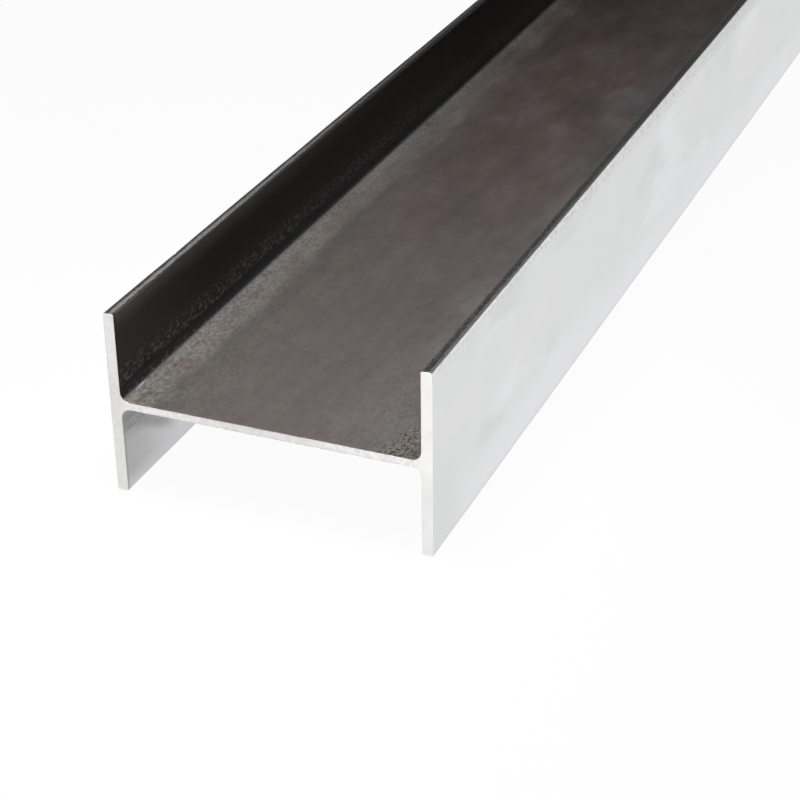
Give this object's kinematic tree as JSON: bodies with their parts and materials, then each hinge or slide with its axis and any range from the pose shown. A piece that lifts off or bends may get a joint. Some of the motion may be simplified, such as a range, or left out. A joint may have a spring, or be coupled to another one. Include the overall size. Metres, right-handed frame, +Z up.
{
  "type": "steel i-beam",
  "caption": "Hot-rolled steel beam with parallel flanges, lying web-flat on the edges of its flanges, with sawn ends.",
  "frame": {"origin": "on the floor, under the middle of the section, halfway along the beam", "axes": "+Y along the beam from the near cut to the far cut, +X across its depth from flange to flange, +Z up, square to the web as it lies"},
  "size_m": [0.2514, 3, 0.1461],
  "materials": {
    "rolled_steel": "as rolled: thin dark mill scale in the channels, brighter on the outer flange faces, bright saw cuts on the ends"
  },
  "bodies": {
    "root": {"i_beam": "rolled_steel"}
  },
  "joints": []
}
